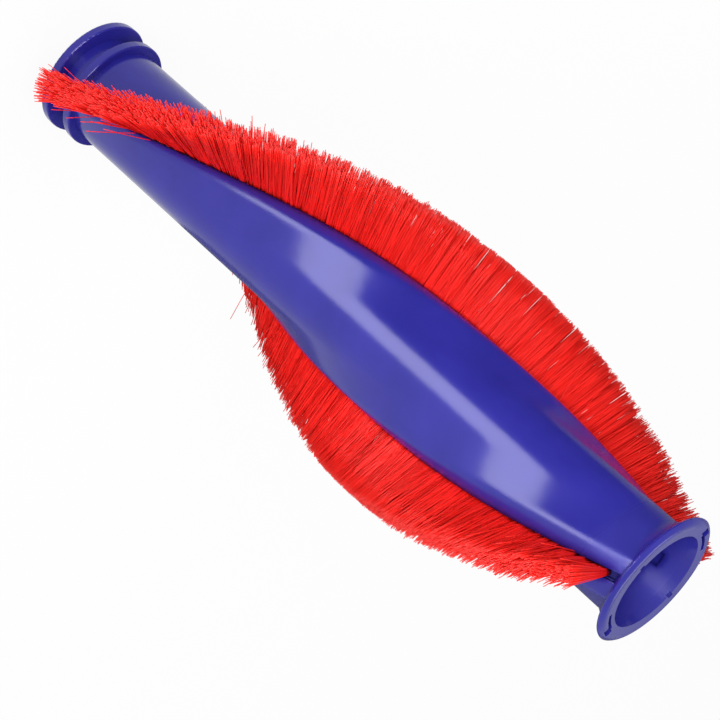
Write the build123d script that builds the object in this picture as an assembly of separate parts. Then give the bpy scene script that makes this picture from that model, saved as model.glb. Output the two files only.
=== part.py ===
from build123d import *
import os
from math import acos, asin, cos, exp, floor, pi, radians, sin, sqrt

# Vacuum brush roll: one moulded tube with two helical lands, each holding a strip of bristle tufts.
# Millimetres. The roll stands on its bearing end at Z = 0, with its axis on Z and its mouth at the top.

# Moulded tube
roll_length = 185.2
core_radius = 11.9
bore_radius = 7.4
edge_round = 0.4

# Bearing end: end flange, hair groove and collar, counted up from Z = 0, with heights over the tube
flange_height = 2.6
flange_thickness = 2.2
groove_depth = 0.9
groove_width = 4.8
collar_height = 2.0
collar_thickness = 2.3
bearing_seat_radius = 9.5
bearing_seat_depth = 8.0

# Mouth end: funnel, drive socket and flared rim, counted down from the mouth
rim_height = 4.3
lip_width = 2.1
lip_depth = 0.8
lip_back_round = 0.7
flare_length = 8.0
flare_root = 0.4
dish_width = 2.1
dish_depth = 0.1
funnel_depth = 7.1
socket_radius = 9.5
socket_depth = 10.0
drive_slot_width = 3.5
drive_slot_length = 3.4
drive_slot_radius = 11.0
drive_slot_setback = 5.6
latch_slot_width = 0.8
latch_slot_inset = 1.1
latch_slot_sweep = 26.0
latch_pocket_length = 2.6
latch_pocket_width = 1.7
latch_depth = 1.2
latch_lag = 25.0
gate_notch_width = 1.2
gate_notch_reach = 0.9
gate_notch_depth = 0.5
gate_notch_lag = 17.6

# Helical lands: they swell out of the tube beside the collar and run into the flare
helix_lead = 330.0
land_height = 3.0
land_half_width = 5.0
land_start_height = 1.3
land_start_half_width = 2.4
land_edge_round = 1.8
swell_length = 85.0
section_count = 17

# Undercut channel along the middle of each land, and the backing strip pressed into it
channel_mouth_width = 2.3
channel_lip = 1.2
channel_width = 4.2
channel_height = 1.6
strip_clearance = 0.05
strip_slot_width = 1.7
strip_floor = 0.5
strip_tail = 0.8

# Tufts: packed roots clamped in the strip, fanning out to trimmed tips
tuft_pitch = 2.17
tuft_root_length = 1.5
tuft_root_width = 1.2
tuft_tip_radius = 30.0
tuft_tip_width = 5.2
tuft_tip_gap = 0.2
first_tuft_offset = 2.2
last_tuft_offset = 4.4
cut_overrun = 1.0

# The free end of each row by the collar: its tips flop to one side and splay, less and less along the row
end_lean = 4.2
end_lean_length = 26.0
end_splay = 3.0
end_splay_length = 40.0

# Stations along the axis that follow from the sizes above
collar_start = flange_thickness + groove_width
collar_end = collar_start + collar_thickness
lip_start = roll_length - lip_depth
rim_back = lip_start - lip_back_round
flare_start = rim_back - flare_length
dish_start = roll_length - dish_depth
socket_top = dish_start - funnel_depth
socket_end = socket_top - socket_depth
middle = roll_length / 2
row_start = collar_end + first_tuft_offset
row_end = roll_length - last_tuft_offset
tuft_count = floor((row_end - row_start) / tuft_pitch) + 1
last_tuft = row_start + (tuft_count - 1) * tuft_pitch
strip_end = last_tuft + tuft_root_length / 2 + strip_tail
turn_per_mm = -360.0 / helix_lead
half_turn = 180.0
row_phases = {"a": 0.0, "b": half_turn}

# Radii that follow from the tube's
land_radius = core_radius + land_height
land_start_radius = core_radius + land_start_height
rim_radius = core_radius + rim_height
crest_radius = rim_radius - lip_width
mouth_radius = crest_radius - dish_width


def row_angle(height):
    """Angle of row a at a height, in degrees: a left-handed helix that crosses +X at mid-length."""
    return turn_per_mm * (height - middle)


def swell(height):
    """How far a land has grown out of the tube at a height, from 0 beside the collar to 1."""
    share = min(max((height - collar_end) / swell_length, 0.0), 1.0)
    return share * share * (3 - 2 * share)


def land_radius_at(height):
    return land_start_radius + (land_radius - land_start_radius) * swell(height)


def land_half_width_at(height):
    return land_start_half_width + (land_half_width - land_start_half_width) * swell(height)


def polar(radius, angle, height=0.0):
    return Vector(radius * cos(angle), radius * sin(angle), height)


def arc(centre, radius, start, end, height):
    """Arc about a centre from one angle to another, at one height."""
    lifted = centre + Vector(0, 0, height)
    return ThreePointArc(*[lifted + polar(radius, angle) for angle in (start, (start + end) / 2, end)])


def across_row(outward, sideways, turn, height):
    """Point in a section, so far out along a row's own direction and so far to its side."""
    return polar(outward, turn, height) + polar(sideways, turn + pi / 2)


def chain(points):
    return [Line(first, second) for first, second in zip(points, points[1:])]


def channel_edges(radius, turn, height):
    """Walls of the undercut channel, from one edge of its mouth round to the other."""
    lip = radius - channel_lip
    bed = lip - channel_height
    mouth = channel_mouth_width / 2
    side = channel_width / 2
    brink = sqrt(radius**2 - mouth**2)
    profile = [(brink, -mouth), (lip, -mouth), (lip, -side), (bed, -side)]
    profile += [(outward, -sideways) for outward, sideways in reversed(profile)]
    return chain([across_row(outward, sideways, turn, height) for outward, sideways in profile])


def lobed_section(height):
    """Tube section with two lands: land arcs, channel, rounded edges and flanks tangent to the core."""
    radius = land_radius_at(height)
    inner = radius - land_edge_round
    corner = asin(land_half_width_at(height) / radius)
    tangent = corner + acos(core_radius / radius)
    edge = tangent - acos((core_radius - land_edge_round) / inner)
    brink = asin(channel_mouth_width / 2 / radius)
    axis = Vector(0, 0, 0)
    edges = []
    for turn in (radians(row_angle(height) + phase) for phase in row_phases.values()):
        before = polar(inner, turn - edge)
        after = polar(inner, turn + edge)
        opposite = polar(inner, turn + pi - edge)
        edges.append(arc(before, land_edge_round, turn - tangent, turn - edge, height))
        edges.append(arc(axis, radius, turn - edge, turn - brink, height))
        edges += channel_edges(radius, turn, height)
        edges.append(arc(axis, radius, turn + brink, turn + edge, height))
        edges.append(arc(after, land_edge_round, turn + edge, turn + tangent, height))
        flank_top = after + polar(land_edge_round, turn + tangent, height)
        edges.append(Line(flank_top, polar(core_radius, turn + tangent, height)))
        edges.append(arc(axis, core_radius, turn + tangent, turn + pi - tangent, height))
        next_top = opposite + polar(land_edge_round, turn + pi - tangent, height)
        edges.append(Line(polar(core_radius, turn + pi - tangent, height), next_top))
    return Wire(edges)


def strip_section(height, phase):
    """Backing strip section: it fills the channel under the lips, with a slot for the tuft roots."""
    turn = radians(row_angle(height) + phase)
    top = land_radius_at(height) - channel_lip - strip_clearance
    bed = top + 2 * strip_clearance - channel_height
    side = channel_width / 2 - strip_clearance
    slot = strip_slot_width / 2
    profile = [(bed, -side), (bed, side), (top, side), (top, slot), (bed + strip_floor, slot)]
    profile += [(bed + strip_floor, -slot), (top, -slot), (top, -side), (bed, -side)]
    return Wire(chain([across_row(outward, sideways, turn, height) for outward, sideways in profile]))


def along_axis(section, low, high):
    """Sections lofted between two heights, turning with the helix."""
    step = (high - low) / (section_count - 1)
    return Solid.make_loft([section(low + index * step) for index in range(section_count)])


def disc(radius, low, high, rounded=0.0):
    """Round disc between two heights, with its two edges rounded."""
    plain = Pos(0, 0, low) * Cylinder(radius, high - low, align=(Align.CENTER, Align.CENTER, Align.MIN))
    return fillet(plain.edges(), rounded) if rounded else plain


def quarter(start, end):
    """Quarter of a round, from a start that it leaves along the axis to an end that it meets square to it."""
    share = 1 - sqrt(0.5)
    bulge = (start[0] + (end[0] - start[0]) * share, end[1] + (start[1] - end[1]) * share)
    return ThreePointArc(start, bulge, end)


def flared_rim():
    """Rim turned about the axis: concave flare and a lip rounded over from its back to its crest."""
    throat = core_radius - flare_root
    lip_back = rim_radius - lip_back_round
    with BuildSketch(Plane.XZ) as outline:
        with BuildLine():
            Polyline((0, roll_length), (0, flare_start), (throat, flare_start))
            quarter((throat, flare_start), (lip_back, rim_back))
            quarter((rim_radius, lip_start), (lip_back, rim_back))
            quarter((rim_radius, lip_start), (crest_radius, roll_length))
            Line((crest_radius, roll_length), (0, roll_length))
        make_face()
    return revolve(outline.sketch, Axis.Z) - flare_reliefs()


def flare_reliefs():
    """Room in the flare for the channels, which run on inside it past the ends of the strips."""
    low = flare_start - cut_overrun
    high = strip_end + strip_clearance
    centre = (low + high) / 2
    width = channel_width + land_radius * radians(abs(turn_per_mm)) * (high - low)
    blank = Box(rim_radius, width, high - low, align=(Align.MIN, Align.CENTER, Align.CENTER))
    return [Pos(0, 0, centre) * Rot(0, 0, row_angle(centre) + phase) * blank for phase in row_phases.values()]


def funnel(low_radius, high_radius, low, high):
    """Cone between two heights, for a cut that widens upwards."""
    upright = (Align.CENTER, Align.CENTER, Align.MIN)
    return Pos(0, 0, low) * Cone(low_radius, high_radius, high - low, align=upright)


def bores():
    """Bearing seat, through bore, drive socket, funnel and dished mouth, all on the axis."""
    return [
        disc(bearing_seat_radius, -cut_overrun, bearing_seat_depth),
        disc(bore_radius, -cut_overrun, roll_length + cut_overrun),
        disc(socket_radius, socket_end, socket_top),
        funnel(socket_radius, mouth_radius, socket_top, dish_start),
        funnel(mouth_radius, crest_radius, dish_start, roll_length),
    ]


def drive_slots():
    """Two slots in the funnel wall, in line with the ends of the lands."""
    top = roll_length - drive_slot_setback
    sides = (Align.MIN, Align.CENTER, Align.MAX)
    blank = Box(drive_slot_radius, drive_slot_width, drive_slot_length, align=sides)
    return [Pos(0, 0, top) * Rot(0, 0, row_angle(top) + phase) * blank for phase in row_phases.values()]


def latch_slots():
    """Two curved slots in the mouth face, each with a pocket at its end, that a drive cap latches into."""
    inner = mouth_radius + latch_slot_inset
    floor_height = roll_length - latch_depth
    ring = disc(inner + latch_slot_width, floor_height, roll_length + cut_overrun)
    ring -= disc(inner, floor_height, roll_length + cut_overrun)
    reach = 2 * rim_radius
    sweep = radians(latch_slot_sweep)
    wedge = extrude(
        make_face(Polyline((0, 0), (reach, 0), (reach * cos(sweep), reach * sin(sweep)), close=True)),
        roll_length + cut_overrun,
    )
    pocket = Pos(inner + latch_slot_width / 2, 0, floor_height) * Box(
        latch_pocket_width,
        latch_pocket_length,
        latch_depth + cut_overrun,
        align=(Align.MIN, Align.CENTER, Align.MIN),
    )
    latch = [Rot(0, 0, -latch_slot_sweep) * (ring & wedge), pocket]
    between_rows = row_angle(roll_length) - half_turn / 2 - latch_lag
    return [Rot(0, 0, between_rows + phase) * cut for phase in row_phases.values() for cut in latch]


def gate_notches():
    """Two small gate marks on the inner edge of the mouth."""
    blank = Pos(0, 0, dish_start - gate_notch_depth) * Box(
        mouth_radius + gate_notch_reach,
        gate_notch_width,
        gate_notch_depth + cut_overrun,
        align=(Align.MIN, Align.CENTER, Align.MIN),
    )
    turn = row_angle(roll_length) - gate_notch_lag
    return [Rot(0, 0, turn + phase) * blank for phase in row_phases.values()]


def roller_body():
    tube = along_axis(lobed_section, collar_end - collar_thickness / 2, lip_start)
    flange = disc(core_radius + flange_height, 0, flange_thickness, edge_round)
    neck = disc(core_radius - groove_depth, flange_thickness / 2, collar_end - collar_thickness / 2)
    collar = disc(core_radius + collar_height, collar_start, collar_end, edge_round)
    solid = tube + [flange, neck, collar, flared_rim()]
    return solid - (bores() + drive_slots() + latch_slots() + gate_notches())


def backing_strip(phase):
    """Strip from the collar to just past the last tuft."""
    low = collar_end + strip_clearance
    return along_axis(lambda height: strip_section(height, phase), low, strip_end)


def tuft_plane(height, phase):
    """Plane on a land at a tuft: Z points out along the tuft, X runs along the row."""
    angle = radians(row_angle(height) + phase)
    outward = polar(1, angle)
    mean_radius = (land_radius + tuft_tip_radius) / 2
    along = Vector(0, 0, 1) + polar(mean_radius * radians(turn_per_mm), angle + pi / 2)
    return Plane(outward * land_radius_at(height) + Vector(0, 0, height), x_dir=along, z_dir=outward)


def tip_spacing():
    """Spacing of neighbouring tufts at their tips, measured along the tufts' own X."""
    turn = radians(turn_per_mm)
    mean_radius = (land_radius + tuft_tip_radius) / 2
    return tuft_pitch * (1 + tuft_tip_radius * mean_radius * turn**2) / sqrt(1 + (mean_radius * turn) ** 2)


def tuft(height, phase):
    """Packed root in the strip's slot, fanning out to a trimmed tip that is wide across the row."""
    lean = end_lean * exp((row_start - height) / end_lean_length)
    tip_width = tuft_tip_width + end_splay * exp((row_start - height) / end_splay_length)
    root = Rectangle(tuft_root_length, tuft_root_width)
    tip = Rectangle(tip_spacing() - tuft_tip_gap, tip_width)
    root_depth = channel_lip + channel_height - strip_floor - 2 * strip_clearance
    fan_height = sqrt(tuft_tip_radius**2 - (lean + tip_width / 2) ** 2) - land_radius_at(height)
    stations = [Pos(0, 0, -root_depth) * root, root, Pos(0, lean, fan_height) * tip]
    return tuft_plane(height, phase) * loft(stations, ruled=True)


def bristle_row(phase):
    heights = [row_start + index * tuft_pitch for index in range(tuft_count)]
    return Compound(children=[tuft(height, phase).solid() for height in heights])


def main():
    nodes = {"roller_body": roller_body()}
    for row, phase in row_phases.items():
        nodes[f"bristle_row_{row}"] = bristle_row(phase)
        nodes[f"backing_strip_{row}"] = backing_strip(phase)
    os.makedirs("parts", exist_ok=True)
    for name, shape in nodes.items():
        export_step(shape, f"parts/{name}.step")


main()
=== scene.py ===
import math

import bpy
import numpy as np
from mathutils import Matrix, Vector


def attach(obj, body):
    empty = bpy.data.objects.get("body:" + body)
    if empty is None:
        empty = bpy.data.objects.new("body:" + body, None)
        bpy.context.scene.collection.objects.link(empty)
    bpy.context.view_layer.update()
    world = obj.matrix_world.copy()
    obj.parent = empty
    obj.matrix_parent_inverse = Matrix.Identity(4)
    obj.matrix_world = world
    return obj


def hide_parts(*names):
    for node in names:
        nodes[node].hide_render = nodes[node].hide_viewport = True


# Vacuum brush roll, dressed: glossy moulded tube, dark backing strips and two helical rows of red filaments.
# Sizes are in millimetres and are turned into metres where a mesh, an object or a shader takes them.
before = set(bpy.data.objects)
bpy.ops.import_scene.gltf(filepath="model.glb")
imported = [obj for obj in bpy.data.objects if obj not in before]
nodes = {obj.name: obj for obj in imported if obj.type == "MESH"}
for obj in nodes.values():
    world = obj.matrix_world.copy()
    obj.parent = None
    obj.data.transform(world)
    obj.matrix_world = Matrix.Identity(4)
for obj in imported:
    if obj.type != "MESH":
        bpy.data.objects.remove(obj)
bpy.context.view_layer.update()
mm = 0.001

# The roll, as its source gives it
roll_length = 185.2
middle = roll_length / 2
collar_end = 9.3
helix_lead = 330.0
turn_per_mm = -2 * math.pi / helix_lead
land_radius = 14.9
land_start_radius = 13.2
swell_length = 85.0
row_start = 11.5
tuft_pitch = 2.17
tuft_count = 79
tuft_tip_radius = 30.0
tuft_tip_width = 5.2
end_lean = 4.2
end_lean_length = 26.0
end_splay = 3.0
end_splay_length = 40.0
row_phases = {"a": 0.0, "b": math.pi}
mean_tuft_radius = (land_radius + tuft_tip_radius) / 2

# One filament: its sides, and the shares of its length where it has a ring of points
filament_radius = 0.125
filament_sides = 3
filament_taper = 0.8
filament_stations = (0.0, 0.15, 0.42, 0.7, 1.0)

# The filaments of a tuft, which stand in clumps and fan out from a packed root
filaments_per_tuft = 90
filament_count = tuft_count * filaments_per_tuft
clump_size = 6
clumps_per_tuft = filaments_per_tuft // clump_size
root_length = 1.85
root_width = 1.2
root_sink = 1.8
fan_power = 0.9
fan_overlap = 1.65
end_overhang = 0.3

# How unevenly they stand: roots in shares of the root's size, tips in millimetres
root_scatter_along = 0.12
root_scatter_across = 0.15
tip_scatter = 0.22
clump_scatter = 0.28
clump_margin = 4 * clump_scatter
tuft_scatter = 0.13
tip_length_spread = 0.3
tuft_length_spread = 0.2
stray_share = 0.04
stray_scatter = 8.0
stray_shortening = 3.5
row_seeds = {"a": 11, "b": 23}

# Noise patterns, each as (features in a metre, detail), and the noise levels where a mottle begins and ends
body_mottle = (90.0, 3.0)
body_peel = (700.0, 2.0)
strip_mottle = (400.0, 3.0)
strip_grain = (2500.0, 2.0)
mottle_start = 0.3
mottle_end = 0.7

# Body plastic: glossy, with a satin flare
body_deep = (0.019, 0.0175, 0.24)
body_pale = (0.0245, 0.022, 0.285)
body_specular = 0.4
peel_strength = 0.03
peel_depth = 0.2
gloss_roughness = 0.19
satin_roughness = 0.34
roughness_by_height = (
    (0.925, gloss_roughness),
    (0.95, satin_roughness),
    (0.985, satin_roughness),
    (0.992, gloss_roughness),
)

# Softness of the lands' edges, as the gloss shows it, which fades out before the collar and the lip
soft_edge_radius = 2.5
soft_edge_samples = 8
soft_edge_by_height = ((0.1, 0.0), (0.25, 1.0), (0.975, 1.0), (0.992, 0.0))

# Bristle nylon: colours from the root to the tip, and the range of shade among the filaments
bristle_root = (1.0, 0.018, 0.013)
bristle_shaft = (1.0, 0.028, 0.02)
bristle_tip = (1.0, 0.08, 0.07)
bristle_tip_start = 0.9
bristle_dark = (0.92, 0.7, 0.7)
bristle_light = (1.0, 1.0, 1.0)
bristle_roughness = 0.45
bristle_specular = 0.2

# Strip plastic
strip_deep = (0.014, 0.013, 0.14)
strip_pale = (0.019, 0.017, 0.18)
strip_roughness = 0.65
strip_specular = 0.25
grain_strength = 0.15
grain_depth = 0.1

# Body faces that meet at less than this angle are shaded as one
crease_angle = math.radians(30)

# Camera, as fitted to the photograph: a 720 pixel square frame seen down a long lens
frame_pixels = 720
focal_pixels = 2835.0
sensor_width = 36.0
camera_distance = 620.0
camera_elevation = math.radians(26.59)
camera_azimuth = math.radians(62.29)
camera_roll = math.radians(41.9)
camera_clip = 10.0
aim_height = 92.5
aim_pixel = (355.1, 311.45)

# Soft lights: angle from the camera's azimuth, distance and height, the level they face, their size and watts
streak_light = {
    "angle": math.radians(3.0),
    "distance": 100.0,
    "height": 115.0,
    "level": 115.0,
    "size": (56.0, 210.0),
    "watts": 0.235,
}
front_light = {
    "angle": math.radians(-6.0),
    "distance": 600.0,
    "height": 450.0,
    "level": middle,
    "size": (400.0, 400.0),
    "watts": 3.7,
}
back_light = {
    "angle": math.radians(180.0),
    "distance": 450.0,
    "height": 800.0,
    "level": middle,
    "size": (400.0, 250.0),
    "watts": 0.8,
}
world_strength = 0.7

# Upright cards that the gloss reflects: angle from the camera's azimuth, distance, width and shade of grey
cards = {
    "side_card": (math.radians(67.0), 60.0, 140.0, 0.02),
    "back_card": (math.radians(-160.0), 80.0, 130.0, 0.2),
    "far_card": (math.radians(138.0), 70.0, 62.0, 0.3),
}
card_height = 200.0

# Floor
floor_size = 6000.0
floor_shade = 0.9
floor_glow = 0.9
matt_roughness = 1.0


def swell(height):
    """How far a land has grown out of the tube at a height, from 0 beside the collar to 1."""
    share = np.clip((height - collar_end) / swell_length, 0.0, 1.0)
    return share * share * (3 - 2 * share)


def land_radius_at(height):
    return land_start_radius + (land_radius - land_start_radius) * swell(height)


def unit(vectors):
    return vectors / np.linalg.norm(vectors, axis=-1, keepdims=True)


def grey(shade):
    return (shade, shade, shade)


def new_material(name):
    """Material, its node tree and its principled shader."""
    material = bpy.data.materials.new(name)
    material.use_nodes = True
    tree = material.node_tree
    return material, tree, tree.nodes["Principled BSDF"]


def noise(tree, scale, detail):
    """Noise over the part's own coordinates, in features per metre."""
    place = tree.nodes.new("ShaderNodeTexCoord")
    texture = tree.nodes.new("ShaderNodeTexNoise")
    texture.inputs["Scale"].default_value = scale
    texture.inputs["Detail"].default_value = detail
    tree.links.new(place.outputs["Object"], texture.inputs["Vector"])
    return texture.outputs["Fac"]


def ramp(tree, source, stops):
    """Colour ramp from a value, with its stops as (position, colour)."""
    node = tree.nodes.new("ShaderNodeValToRGB")
    node.color_ramp.elements[0].position = stops[0][0]
    node.color_ramp.elements[0].color = (*stops[0][1], 1)
    node.color_ramp.elements[1].position = stops[-1][0]
    node.color_ramp.elements[1].color = (*stops[-1][1], 1)
    for position, colour in stops[1:-1]:
        node.color_ramp.elements.new(position).color = (*colour, 1)
    tree.links.new(source, node.inputs["Fac"])
    return node.outputs["Color"]


def math_node(tree, operation, source, other):
    """Result of a value and another value, which is a number or comes from a node."""
    node = tree.nodes.new("ShaderNodeMath")
    node.operation = operation
    tree.links.new(source, node.inputs[0])
    if isinstance(other, float):
        node.inputs[1].default_value = other
    else:
        tree.links.new(other, node.inputs[1])
    return node.outputs["Value"]


def by_height(tree, stops):
    """Value that changes along the roll, with its stops as (share of the roll's length, value)."""
    place = tree.nodes.new("ShaderNodeTexCoord")
    split = tree.nodes.new("ShaderNodeSeparateXYZ")
    tree.links.new(place.outputs["Object"], split.inputs["Vector"])
    share = tree.nodes.new("ShaderNodeMapRange")
    share.inputs["From Max"].default_value = roll_length * mm
    tree.links.new(split.outputs["Z"], share.inputs["Value"])
    return ramp(tree, share.outputs["Result"], [(position, grey(value)) for position, value in stops])


def soft_edges(tree):
    """Normals that run softly over the edges of the lands."""
    radius = math_node(tree, "MULTIPLY", by_height(tree, soft_edge_by_height), soft_edge_radius * mm)
    node = tree.nodes.new("ShaderNodeBevel")
    node.samples = soft_edge_samples
    tree.links.new(radius, node.inputs["Radius"])
    return node.outputs["Normal"]


def bump(tree, shader, height, strength, depth, normal=None):
    """Fine relief on a shader, over other normals where they are given."""
    node = tree.nodes.new("ShaderNodeBump")
    if normal:
        tree.links.new(normal, node.inputs["Normal"])
    node.inputs["Strength"].default_value = strength
    node.inputs["Distance"].default_value = depth * mm
    tree.links.new(height, node.inputs["Height"])
    tree.links.new(node.outputs["Normal"], shader.inputs["Normal"])


def mottled_colour(tree, shader, pattern, deep, pale):
    """Base colour that drifts between two shades."""
    colour = ramp(tree, noise(tree, *pattern), [(mottle_start, deep), (mottle_end, pale)])
    tree.links.new(colour, shader.inputs["Base Color"])


def body_plastic():
    """Glossy moulded plastic, with a faint flow mottle and orange peel."""
    material, tree, shader = new_material("body_plastic")
    mottled_colour(tree, shader, body_mottle, body_deep, body_pale)
    tree.links.new(by_height(tree, roughness_by_height), shader.inputs["Roughness"])
    shader.inputs["Specular IOR Level"].default_value = body_specular
    bump(tree, shader, noise(tree, *body_peel), peel_strength, peel_depth, soft_edges(tree))
    return material


def share_of_reach(tree):
    """Distance from the roll's axis, from 0 at the lands to 1 at the tips."""
    place = tree.nodes.new("ShaderNodeTexCoord")
    flat = tree.nodes.new("ShaderNodeVectorMath")
    flat.operation = "MULTIPLY"
    flat.inputs[1].default_value = (1, 1, 0)
    tree.links.new(place.outputs["Object"], flat.inputs[0])
    reach = tree.nodes.new("ShaderNodeVectorMath")
    reach.operation = "LENGTH"
    tree.links.new(flat.outputs["Vector"], reach.inputs[0])
    share = tree.nodes.new("ShaderNodeMapRange")
    share.inputs["From Min"].default_value = land_radius * mm
    share.inputs["From Max"].default_value = tuft_tip_radius * mm
    tree.links.new(reach.outputs["Value"], share.inputs["Value"])
    return share.outputs["Result"]


def bristle_nylon():
    """Red filaments: each its own shade, deeper towards the roots."""
    material, tree, shader = new_material("bristle_nylon")
    along_stops = [(0.0, bristle_root), (bristle_tip_start, bristle_shaft), (1.0, bristle_tip)]
    along = ramp(tree, share_of_reach(tree), along_stops)
    island = tree.nodes.new("ShaderNodeNewGeometry")
    shade_stops = [(0.0, bristle_dark), (1.0, bristle_light)]
    shade = ramp(tree, island.outputs["Random Per Island"], shade_stops)
    mix = tree.nodes.new("ShaderNodeMix")
    mix.data_type = "RGBA"
    mix.blend_type = "MULTIPLY"
    mix.inputs["Factor"].default_value = 1.0
    tree.links.new(along, mix.inputs["A"])
    tree.links.new(shade, mix.inputs["B"])
    tree.links.new(mix.outputs["Result"], shader.inputs["Base Color"])
    shader.inputs["Roughness"].default_value = bristle_roughness
    shader.inputs["Specular IOR Level"].default_value = bristle_specular
    return material


def strip_plastic():
    """Dull dark backing strip."""
    material, tree, shader = new_material("strip_plastic")
    mottled_colour(tree, shader, strip_mottle, strip_deep, strip_pale)
    shader.inputs["Roughness"].default_value = strip_roughness
    shader.inputs["Specular IOR Level"].default_value = strip_specular
    bump(tree, shader, noise(tree, *strip_grain), grain_strength, grain_depth)
    return material


def row_axes(heights, phase):
    """The row's own directions at heights on the roll: outward, along the row and across it."""
    angle = turn_per_mm * (heights - middle) + phase
    level = np.zeros_like(angle)
    outward = np.stack([np.cos(angle), np.sin(angle), level], -1)
    sideways = np.stack([-np.sin(angle), np.cos(angle), level], -1)
    along = unit(np.array([0, 0, 1.0]) + mean_tuft_radius * turn_per_mm * sideways)
    return outward, along, np.cross(outward, along)


def tip_spacing():
    """Spacing of neighbouring tufts at their tips, along the row."""
    stretch = 1 + tuft_tip_radius * mean_tuft_radius * turn_per_mm**2
    return tuft_pitch * stretch / math.sqrt(1 + (mean_tuft_radius * turn_per_mm) ** 2)


def spread(draw, group, scale):
    """Random offsets of the filaments that are shared by the members of a group."""
    return np.repeat(draw.normal(0, scale, filament_count // group), group)


def even_places(draw):
    """Places of the clumps along their tufts, from -0.5 to 0.5, evenly spread and a little at random."""
    jitter = draw.uniform(size=(tuft_count, clumps_per_tuft))
    return ((np.arange(clumps_per_tuft) + jitter) / clumps_per_tuft - 0.5).ravel()


def root_places(draw):
    """Places of the roots along and across their tufts, from -0.5 to 0.5, drawn in on the last tuft."""
    clump_along = np.repeat(even_places(draw), clump_size)
    clump_across = np.repeat(draw.uniform(-0.5, 0.5, filament_count // clump_size), clump_size)
    along = np.clip(clump_along + draw.normal(0, root_scatter_along, filament_count), -0.5, 0.5)
    along[-filaments_per_tuft:] = -np.abs(along[-filaments_per_tuft:])
    across = np.clip(clump_across + draw.normal(0, root_scatter_across, filament_count), -0.5, 0.5)
    return along, across


def tip_offsets(draw, stray):
    """Random offsets of the tips in one direction: each filament's own, its clump's and its tuft's."""
    own = draw.normal(0, tip_scatter, filament_count) * np.where(stray, stray_scatter, 1.0)
    own += spread(draw, clump_size, clump_scatter)
    own += spread(draw, filaments_per_tuft, tuft_scatter)
    return own


def tip_shortfalls(draw, stray):
    """How far the tips stay short of the full radius."""
    shortfall = np.abs(draw.normal(0, tip_length_spread, filament_count))
    shortfall += np.abs(spread(draw, filaments_per_tuft, tuft_length_spread))
    more = np.abs(draw.normal(0, tip_length_spread, filament_count))
    return shortfall + more * np.where(stray, stray_shortening, 0.0)


def inside_row(tip_along):
    """Tip offsets along the row, with those that would stand past the row's ends folded back into it."""
    spacing = tip_spacing()
    tuft_place = np.repeat(spacing * np.arange(tuft_count), filaments_per_tuft)
    low = -end_overhang * spacing
    high = (tuft_count - 1 + end_overhang) * spacing
    place = tuft_place + tip_along
    place = np.where(place < low, 2 * low - place, place)
    place = np.where(place > high, 2 * high - place, place)
    return place - tuft_place


def filament_paths(phase, seed):
    """Points along each filament of a row, from its root in the strip to its tip."""
    draw = np.random.RandomState(seed)
    heights = np.repeat(row_start + tuft_pitch * np.arange(tuft_count), filaments_per_tuft)
    outward, along, across = row_axes(heights, phase)
    root_along, root_across = root_places(draw)
    stray = draw.uniform(size=filament_count) < stray_share
    tip_along = inside_row(root_along * tip_spacing() * fan_overlap + tip_offsets(draw, stray))
    lean = end_lean * np.exp((row_start - heights) / end_lean_length)
    tip_width = tuft_tip_width + end_splay * np.exp((row_start - heights) / end_splay_length)
    tip_across = lean + root_across * (tip_width - clump_margin) + tip_offsets(draw, stray)
    tip_reach = np.sqrt(tuft_tip_radius**2 - tip_across**2) - tip_shortfalls(draw, stray)
    root_radius = land_radius_at(heights) - root_sink
    share = np.array(filament_stations)[None, :]
    fan = share**fan_power
    radius = root_radius[:, None] + (tip_reach - root_radius)[:, None] * share
    shift_along = root_along[:, None] * root_length * (1 - fan) + tip_along[:, None] * fan
    shift_across = root_across[:, None] * root_width * (1 - fan) + tip_across[:, None] * fan
    base = np.zeros((filament_count, 1, 3))
    base[:, 0, 2] = heights
    return (
        base
        + outward[:, None, :] * radius[:, :, None]
        + along[:, None, :] * shift_along[:, :, None]
        + across[:, None, :] * shift_across[:, :, None]
    )


def tubes(paths):
    """Thin closed tubes along paths of equal length."""
    count, stations, _ = paths.shape
    direction = unit(np.gradient(paths, axis=1))
    first = unit(np.cross(direction, np.array([0.0, 0.0, 1.0])))
    second = np.cross(direction, first)
    angles = 2 * np.pi * np.arange(filament_sides) / filament_sides
    radius = filament_radius * np.linspace(1.0, filament_taper, stations)[None, :, None, None]
    ring = np.cos(angles)[:, None] * first[:, :, None, :] + np.sin(angles)[:, None] * second[:, :, None, :]
    vertices = (paths[:, :, None, :] + radius * ring).reshape(-1, 3)
    place = np.arange(count * stations * filament_sides).reshape(count, stations, filament_sides)
    low = place[:, :-1, :]
    high = place[:, 1:, :]
    corners = [low, np.roll(low, -1, 2), np.roll(high, -1, 2), high]
    sides = np.stack(corners, -1).reshape(-1, len(corners))
    caps = np.concatenate([place[:, 0, ::-1], place[:, -1, :]])
    return vertices, sides, caps


def filament_row(row):
    """One row of filaments, which stands for the row's tufts."""
    vertices, sides, caps = tubes(filament_paths(row_phases[row], row_seeds[row]))
    mesh = bpy.data.meshes.new(f"filaments_{row}")
    mesh.from_pydata((vertices * mm).tolist(), [], sides.tolist() + caps.tolist())
    mesh.polygons.foreach_set("use_smooth", [True] * len(mesh.polygons))
    piece = bpy.data.objects.new(f"filaments_{row}", mesh)
    bpy.context.scene.collection.objects.link(piece)
    return piece


def smooth(piece, angle):
    """Smooth shading up to an angle between faces."""
    mesh = piece.data
    mesh.polygons.foreach_set("use_smooth", [True] * len(mesh.polygons))
    mesh.set_sharp_from_angle(angle=angle)


def paint(piece, material):
    piece.data.materials.clear()
    piece.data.materials.append(material)


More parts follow.
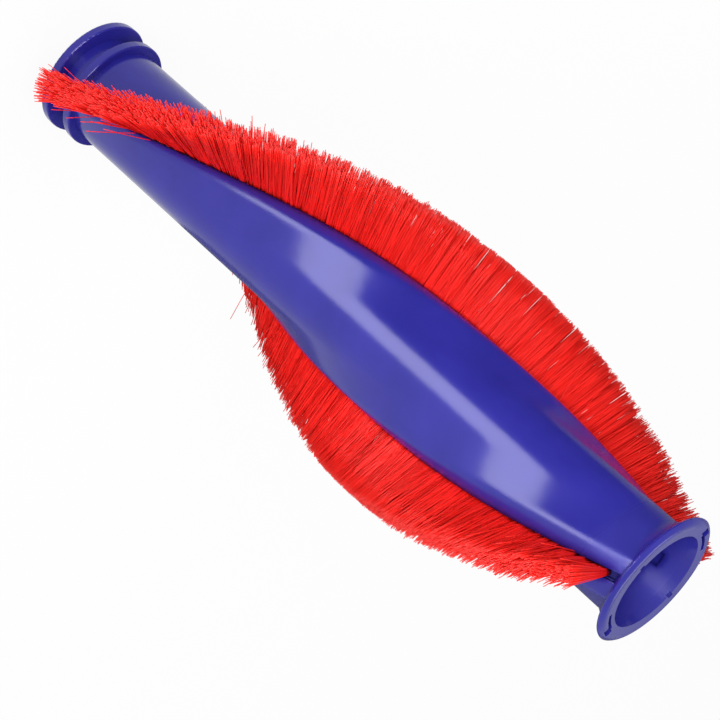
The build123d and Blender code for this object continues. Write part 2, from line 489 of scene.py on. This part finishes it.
def photo_camera():
    """Camera at the photograph's angle, with the roll's middle at its pixel in the frame."""
    flat = Vector((math.cos(camera_azimuth), math.sin(camera_azimuth), 0))
    axis = Vector((0, 0, 1))
    towards = flat * math.cos(camera_elevation) + axis * math.sin(camera_elevation)
    up = axis * math.cos(camera_elevation) - flat * math.sin(camera_elevation)
    side = up.cross(towards)
    right = up * math.cos(camera_roll) - side * math.sin(camera_roll)
    down = up * math.sin(camera_roll) + side * math.cos(camera_roll)
    centre = frame_pixels / 2
    off_right = (aim_pixel[0] - centre) / focal_pixels
    off_down = (aim_pixel[1] - centre) / focal_pixels
    ahead = (-towards - right * off_right - down * off_down).normalized()
    right = (right - ahead * right.dot(ahead)).normalized()
    down = ahead.cross(right)
    data = bpy.data.cameras.new("photo_camera")
    data.sensor_width = sensor_width
    data.lens = focal_pixels / frame_pixels * sensor_width
    data.clip_start = camera_clip * mm
    camera = bpy.data.objects.new("photo_camera", data)
    bpy.context.scene.collection.objects.link(camera)
    turned = Matrix((right, -down, -ahead)).transposed().to_4x4()
    place = (axis * aim_height + towards * camera_distance) * mm
    camera.matrix_world = Matrix.Translation(place) @ turned
    bpy.context.scene.camera = camera


def area_light(name, angle, distance, height, level, size, watts):
    """Rectangular soft light at a height beside the roll, which faces the roll's axis at a level."""
    turned = camera_azimuth - angle
    place = Vector((distance * math.cos(turned), distance * math.sin(turned), height))
    target = Vector((0, 0, level))
    data = bpy.data.lights.new(name, "AREA")
    data.shape = "RECTANGLE"
    data.size = size[0] * mm
    data.size_y = size[1] * mm
    data.energy = watts
    light = bpy.data.objects.new(name, data)
    bpy.context.scene.collection.objects.link(light)
    light.location = place * mm
    light.rotation_euler = (place - target).to_track_quat("Z", "Y").to_euler()
    light.visible_camera = False
    return light


def studio():
    """White surroundings, a tall soft box for the streak and broad soft light from front and back."""
    world = bpy.data.worlds.new("studio")
    bpy.context.scene.world = world
    world.use_nodes = True
    background = world.node_tree.nodes["Background"]
    background.inputs["Color"].default_value = (1, 1, 1, 1)
    background.inputs["Strength"].default_value = world_strength
    streak = area_light("streak_light", **streak_light)
    streak.visible_diffuse = False
    front = area_light("front_light", **front_light)
    front.visible_glossy = False
    area_light("back_light", **back_light)


def white_floor():
    """Pale floor, white to the camera and still taking the roll's soft shadow."""
    bpy.ops.mesh.primitive_plane_add(size=floor_size * mm, location=(0, 0, 0))
    floor = bpy.context.object
    floor.name = "floor"
    material, tree, shader = new_material("floor_white")
    shader.inputs["Base Color"].default_value = (*grey(floor_shade), 1)
    shader.inputs["Roughness"].default_value = matt_roughness
    path = tree.nodes.new("ShaderNodeLightPath")
    seen = math_node(tree, "MAXIMUM", path.outputs["Is Camera Ray"], path.outputs["Is Glossy Ray"])
    seen = math_node(tree, "MAXIMUM", seen, path.outputs["Is Transmission Ray"])
    share = math_node(tree, "MULTIPLY", seen, floor_glow)
    glow = tree.nodes.new("ShaderNodeEmission")
    mix = tree.nodes.new("ShaderNodeMixShader")
    tree.links.new(share, mix.inputs["Fac"])
    tree.links.new(shader.outputs["BSDF"], mix.inputs[1])
    tree.links.new(glow.outputs["Emission"], mix.inputs[2])
    tree.links.new(mix.outputs["Shader"], tree.nodes["Material Output"].inputs["Surface"])
    paint(floor, material)


def reflected_card(name, angle, distance, width, shade):
    """Upright card beside the roll, which shows only in its gloss."""
    turned = camera_azimuth - angle
    outward = Vector((math.cos(turned), math.sin(turned), 0))
    bpy.ops.mesh.primitive_plane_add(size=1.0)
    card = bpy.context.object
    card.name = name
    card.location = (outward * distance + Vector((0, 0, card_height / 2))) * mm
    card.rotation_euler = outward.to_track_quat("Z", "Y").to_euler()
    card.scale = (width * mm, card_height * mm, 1)
    card.visible_camera = False
    card.visible_diffuse = False
    card.visible_transmission = False
    card.visible_shadow = False
    material, _, shader = new_material(name)
    shader.inputs["Base Color"].default_value = (*grey(shade), 1)
    shader.inputs["Roughness"].default_value = matt_roughness
    paint(card, material)


bpy.context.scene.view_settings.view_transform = "Standard"

paint(nodes["roller_body"], body_plastic())
smooth(nodes["roller_body"], crease_angle)
strip_finish = strip_plastic()
bristle_finish = bristle_nylon()
for row in row_phases:
    strip = nodes[f"backing_strip_{row}"]
    paint(strip, strip_finish)
    filaments = filament_row(row)
    paint(filaments, bristle_finish)
    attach(filaments, "root")
    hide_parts(f"bristle_row_{row}")

photo_camera()
studio()
white_floor()
for name, card in cards.items():
    reflected_card(name, *card)
